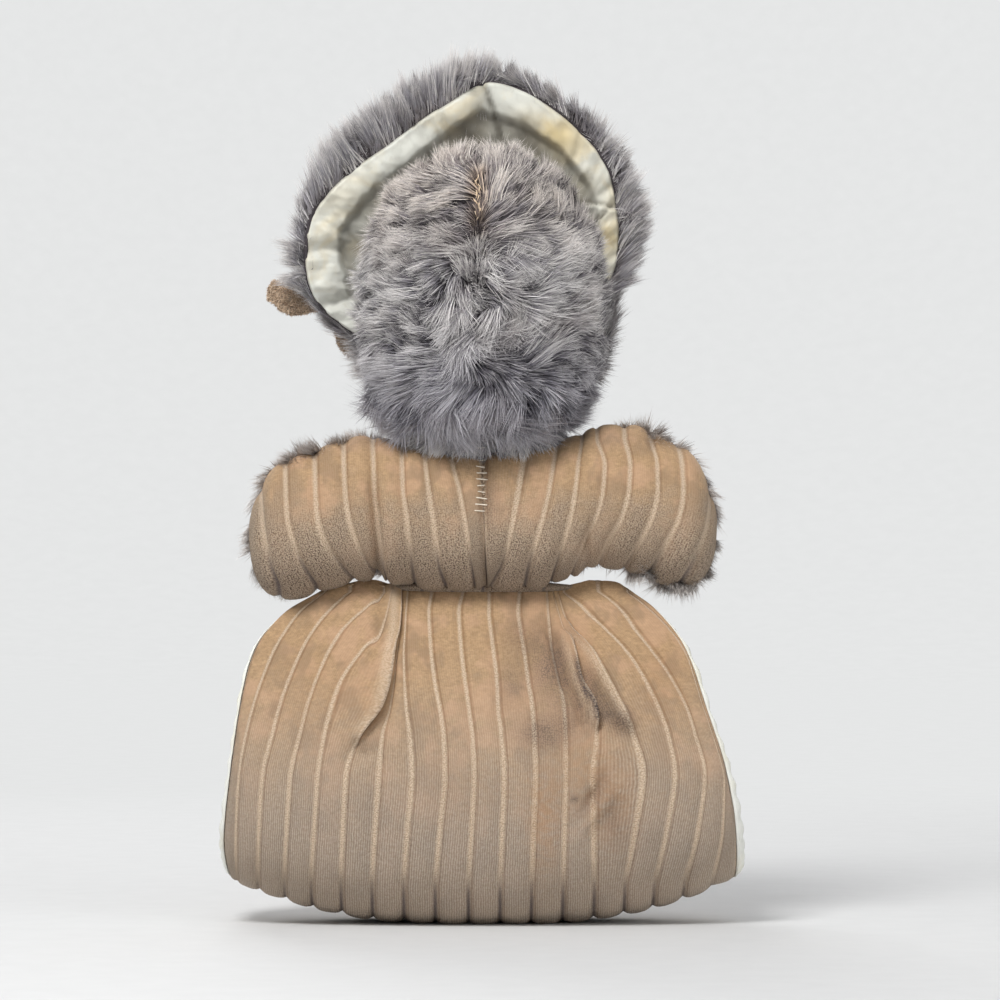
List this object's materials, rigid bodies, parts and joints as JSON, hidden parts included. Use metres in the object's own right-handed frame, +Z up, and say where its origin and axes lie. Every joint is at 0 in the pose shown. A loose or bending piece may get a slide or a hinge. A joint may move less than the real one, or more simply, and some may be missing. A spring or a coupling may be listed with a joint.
{
  "type": "muff doll",
  "caption": "Stuffed doll with a plush bonnet, moulded face, stub arms and a ribbed velour skirt that is a padded hand muff.",
  "frame": {"origin": "middle of the flat patch that the muff stands on", "axes": "+Z up the doll's height, the face looks along -Y, the doll's left hand is on +X"},
  "size_m": [0.2288, 0.0946, 0.3757],
  "materials": {
    "tan_velour": "ribbed velour pile",
    "white_satin": "aged satin",
    "grey_plush": "long pile plush",
    "stuffing": "loose cotton wadding",
    "buckram": "stiffened cotton",
    "face_rubber": "painted matt rubber"
  },
  "bodies": {
    "muff": {"muff_cover": "tan_velour", "muff_lining": "white_satin", "muff_padding": "stuffing"},
    "torso": {"torso_back_left": "tan_velour", "torso_back_right": "tan_velour", "torso_front_plush": "grey_plush", "torso_stuffing": "stuffing"},
    "left_arm": {"left_arm_back_velour": "tan_velour", "left_arm_front_plush": "grey_plush", "left_arm_stuffing": "stuffing"},
    "right_arm": {"right_arm_back_velour": "tan_velour", "right_arm_front_plush": "grey_plush", "right_arm_stuffing": "stuffing"},
    "neck": {"neck_stuffing": "stuffing"},
    "head": {"head_plush_left": "grey_plush", "head_plush_right": "grey_plush", "head_stuffing": "stuffing", "face_mask": "face_rubber", "brim_plush": "grey_plush", "brim_stiffener": "buckram", "brim_lining": "white_satin", "bow_knot": "tan_velour", "bow_loop_outer": "tan_velour", "bow_loop_inner": "tan_velour"}
  },
  "joints": [
    {"name": "waist_bend", "type": "hinge", "parent": "muff", "child": "torso", "pos_m": [0, 0, 0.14676], "axis": [1, 0, 0], "range_deg": [-15, 20], "stiffness_Nm_per_rad": 1.2},
    {"name": "left_arm_swing", "type": "hinge", "parent": "torso", "child": "left_arm", "pos_m": [0.04, 0, 0.17676], "axis": [0, 0, -1], "range_deg": [-12, 35], "stiffness_Nm_per_rad": 0.15},
    {"name": "right_arm_swing", "type": "hinge", "parent": "torso", "child": "right_arm", "pos_m": [-0.04, 0, 0.17676], "axis": [0, 0, 1], "range_deg": [-12, 35], "stiffness_Nm_per_rad": 0.15},
    {"name": "neck_tilt", "type": "hinge", "parent": "torso", "child": "neck", "pos_m": [0, 0, 0.21576], "axis": [0, 1, 0], "range_deg": [-10, 10], "stiffness_Nm_per_rad": 0.8},
    {"name": "neck_nod", "type": "hinge", "parent": "neck", "child": "head", "pos_m": [0, 0, 0.21576], "axis": [1, 0, 0], "range_deg": [-15, 18], "stiffness_Nm_per_rad": 0.8}
  ]
}
